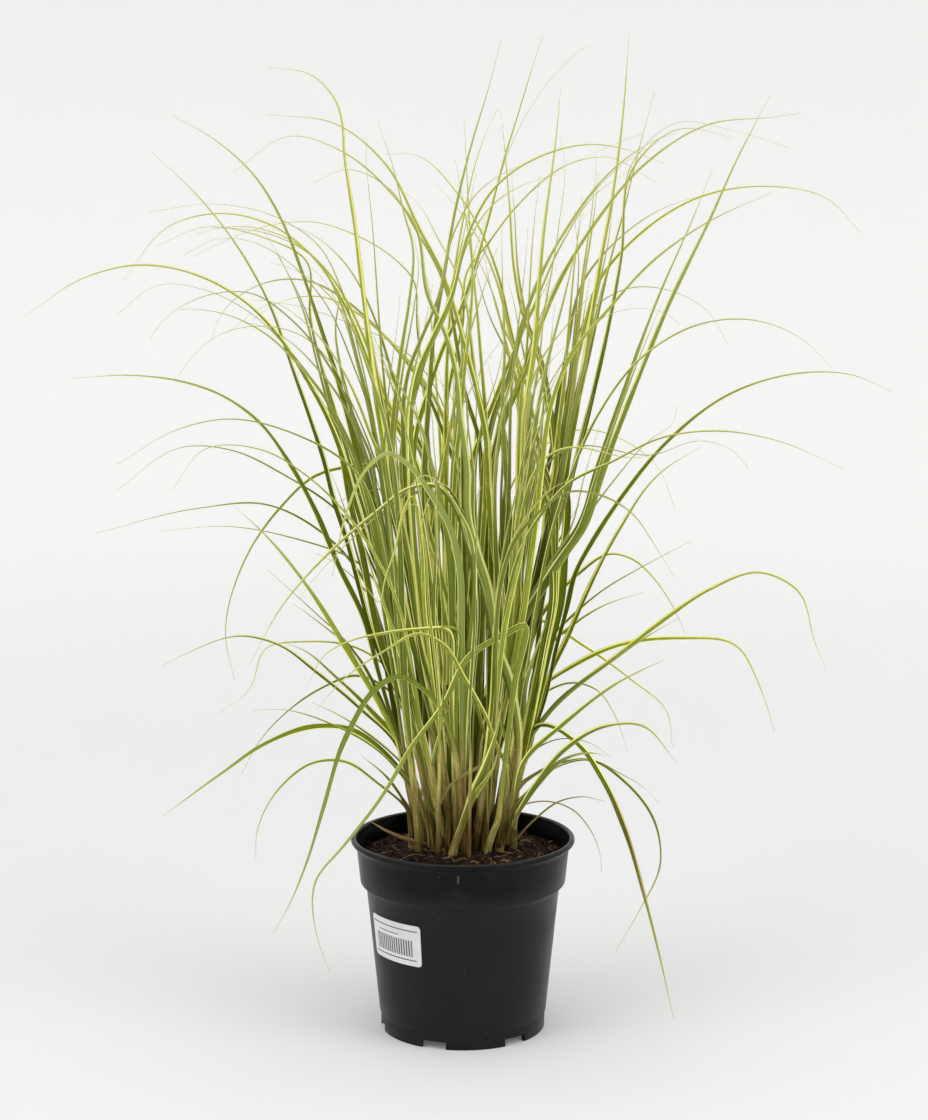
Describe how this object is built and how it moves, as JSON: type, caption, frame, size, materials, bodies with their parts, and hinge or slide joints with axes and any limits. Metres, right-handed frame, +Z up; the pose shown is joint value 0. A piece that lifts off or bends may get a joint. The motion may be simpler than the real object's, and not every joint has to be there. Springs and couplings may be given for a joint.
{
  "type": "potted ornamental grass",
  "caption": "Clump of arching variegated ornamental grass growing in a round black nursery pot with a small blank label.",
  "frame": {"origin": "centre of the pot's foot ring, on the surface the pot stands on", "axes": "+Z up; -Y is the front, the side that carries the label on its left"},
  "size_m": [0.7159, 0.6603, 0.8376],
  "materials": {
    "pot_plastic": "matte",
    "label_sheet": "satin",
    "potting_mix": "matte",
    "grass": "satin"
  },
  "bodies": {
    "root": {"pot": "pot_plastic", "label": "label_sheet", "soil": "potting_mix", "tiller_left_low": "grass", "tiller_left_strong": "grass", "tiller_left_back": "grass", "tiller_tall_left": "grass", "tiller_left_thin": "grass", "tiller_left_wide": "grass", "tiller_cross_left": "grass", "tiller_pale_left": "grass", "tiller_fine_left": "grass", "tiller_back_left": "grass", "tiller_tall_pair": "grass", "tiller_inner_left": "grass", "tiller_sweep_left": "grass", "tiller_front_pale": "grass", "tiller_kinked": "grass", "tiller_tall_centre": "grass", "tiller_yellow_centre": "grass", "tiller_far_centre": "grass", "tiller_right_yellow": "grass", "tiller_bent_yellow": "grass", "tiller_diagonal": "grass", "tiller_right_sweep": "grass", "tiller_tall_right": "grass", "tiller_right_back": "grass", "tiller_far_right": "grass", "tiller_right_pale": "grass", "tiller_right_droop": "grass", "tiller_right_arch": "grass", "tiller_right_wide": "grass", "tiller_right_level": "grass", "tiller_right_straight": "grass", "tiller_right_fold": "grass", "tiller_right_hook": "grass", "tiller_right_green": "grass", "tiller_right_bow": "grass", "tiller_right_low": "grass", "tiller_front_droop": "grass", "tiller_side_droop": "grass", "tiller_left_fan": "grass", "tiller_left_far": "grass", "tiller_left_level": "grass", "tiller_big_arch": "grass", "tiller_green_arch": "grass", "tiller_front_arch": "grass", "tiller_bent_left": "grass", "tiller_left_tip": "grass", "tiller_front_hoop": "grass", "tiller_front_fold": "grass", "tiller_yellow_arch": "grass", "tiller_low_arch": "grass", "tiller_new_shoot": "grass", "tiller_dark_hook": "grass", "tiller_forward": "grass", "tiller_forward_left": "grass", "tiller_backward": "grass", "tiller_backward_left": "grass"}
  },
  "joints": []
}
